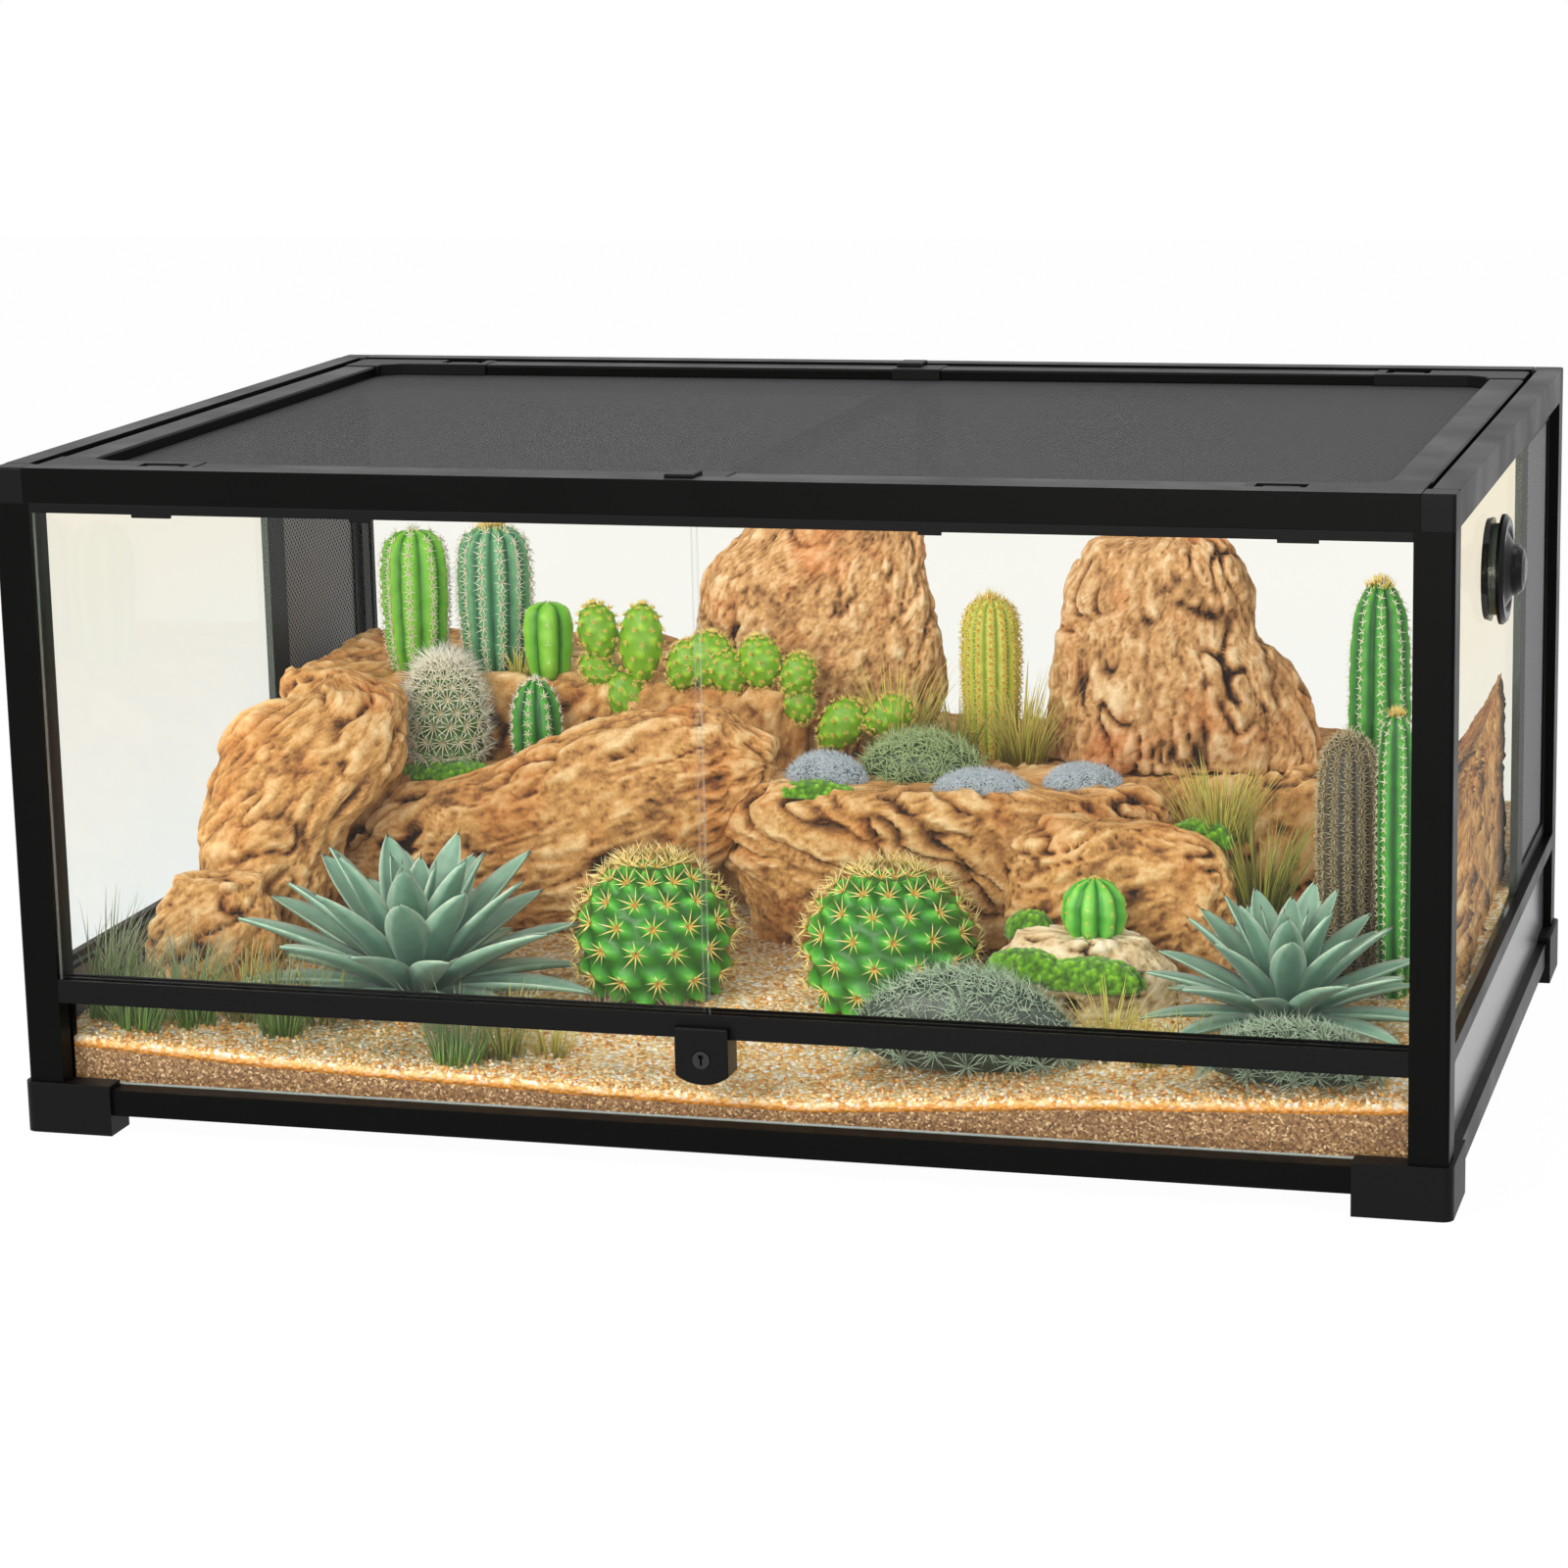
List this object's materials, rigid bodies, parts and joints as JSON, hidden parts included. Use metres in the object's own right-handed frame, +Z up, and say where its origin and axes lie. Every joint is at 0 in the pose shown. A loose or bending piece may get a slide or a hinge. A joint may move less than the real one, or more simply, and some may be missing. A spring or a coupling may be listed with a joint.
{
  "type": "reptile terrarium",
  "caption": "Black-framed glass terrarium with sliding doors, a key lock, side vents, a cable port, a lift-off screen lid and a desert landscape inside.",
  "frame": {"origin": "on the floor at the middle of the frame", "axes": "+X to the right along the long side, -Y to the front with the doors, +Z up"},
  "size_m": [0.921, 0.6136, 0.432],
  "materials": {
    "frame_aluminium": "black powder coat, semi-gloss",
    "frame_abs": "black moulded plastic, fine satin",
    "base_panel": "black gloss panel",
    "glass": "clear float glass, polished edges",
    "steel_mesh": "black coated fine steel mesh",
    "lock_abs": "black moulded plastic",
    "lock_zinc": "black plated zinc",
    "port_abs": "black moulded plastic",
    "sand": "fine brown sand",
    "gravel": "golden gravel",
    "sandstone": "weathered sandstone",
    "cactus_green": "moulded plant, green with pale spines",
    "agave_leaf": "moulded plant, blue-green, waxy",
    "cushion_plant": "moulded plant, grey-green",
    "moss": "flocked moss"
  },
  "bodies": {
    "root": {"agave_left": "agave_leaf", "agave_right": "agave_leaf", "back_glass": "glass", "back_posts": "frame_aluminium", "back_stay": "frame_aluminium", "barrel_cacti": "cactus_green", "base_pane": "glass", "bottom_long_rails": "frame_aluminium", "bottom_side_rails": "frame_aluminium", "cactus_columns": "cactus_green", "cactus_small": "cactus_green", "cactus_tall_right": "cactus_green", "cushion_plants": "cushion_plant", "door_track_lower": "frame_abs", "door_track_upper": "frame_abs", "feet": "frame_abs", "front_fixed_pane": "glass", "front_posts": "frame_aluminium", "gravel_layer": "gravel", "lock_housing": "lock_abs", "moss_pads": "moss", "port_ring": "port_abs", "prickly_pear": "cactus_green", "rock_big_left": "sandstone", "rock_ledge": "sandstone", "rock_log": "sandstone", "rock_slope_right": "sandstone", "rock_tall_centre": "sandstone", "rock_tall_right": "sandstone", "rock_terrace": "sandstone", "rocks_loose": "sandstone", "sand_bed": "sand", "side_base_panels": "base_panel", "side_glass_left": "glass", "side_glass_right": "glass", "side_sill_rails": "frame_aluminium", "top_corner_blocks": "frame_abs", "top_rail_back": "frame_aluminium", "top_rail_front": "frame_aluminium", "top_side_rails": "frame_aluminium", "vent_frames": "frame_abs", "vent_meshes": "steel_mesh"},
    "door_left": {"door_glass_left": "glass"},
    "door_right": {"door_glass_right": "glass"},
    "key": {"lock_cylinder": "lock_zinc"},
    "bolt": {"lock_bolt": "lock_zinc"},
    "cap": {"port_cap": "port_abs"},
    "lid": {"lid_back_rails": "frame_aluminium", "lid_brace": "frame_aluminium", "lid_clips": "frame_abs", "lid_corner_connectors": "frame_abs", "lid_front_rails": "frame_aluminium", "lid_joiners": "frame_abs", "lid_mesh": "steel_mesh", "lid_side_rails": "frame_aluminium"},
    "catch_front_left": {"latch_front_left": "frame_abs"},
    "catch_front_right": {"latch_front_right": "frame_abs"},
    "catch_back_left": {"latch_back_left": "frame_abs"},
    "catch_back_right": {"latch_back_right": "frame_abs"}
  },
  "joints": [
    {"name": "door_left_slide", "type": "slide", "parent": "root", "child": "door_left", "axis": [1, 0, 0], "range_m": [0, 0.4265]},
    {"name": "door_right_slide", "type": "slide", "parent": "root", "child": "door_right", "axis": [-1, 0, 0], "range_m": [0, 0.4265]},
    {"name": "key_turn", "type": "hinge", "parent": "root", "child": "key", "pos_m": [0, -0.302, 0.074], "axis": [0, 1, 0], "range_deg": [-90, 0]},
    {"name": "bolt_lift", "type": "slide", "parent": "root", "child": "bolt", "axis": [0, 0, -1], "range_m": [-0.0055, 0]},
    {"name": "port_cap_turn", "type": "hinge", "parent": "root", "child": "cap", "pos_m": [0.448, -0.018, 0.34], "axis": [1, 0, 0], "continuous": true},
    {"name": "lid_lift", "type": "slide", "parent": "root", "child": "lid", "axis": [0, 0, 1], "range_m": [0, 0.12]},
    {"name": "latch_front_left_slide", "type": "slide", "parent": "lid", "child": "catch_front_left", "axis": [0, -1, 0], "range_m": [0, 0.0058]},
    {"name": "latch_front_right_slide", "type": "slide", "parent": "lid", "child": "catch_front_right", "axis": [0, -1, 0], "range_m": [0, 0.0058]},
    {"name": "latch_back_left_slide", "type": "slide", "parent": "lid", "child": "catch_back_left", "axis": [0, 1, 0], "range_m": [0, 0.0093]},
    {"name": "latch_back_right_slide", "type": "slide", "parent": "lid", "child": "catch_back_right", "axis": [0, 1, 0], "range_m": [0, 0.0093]}
  ],
  "couplings": [
    {"joint": "key_turn", "follows": "bolt_lift", "rad_per_m": 285.6}
  ]
}
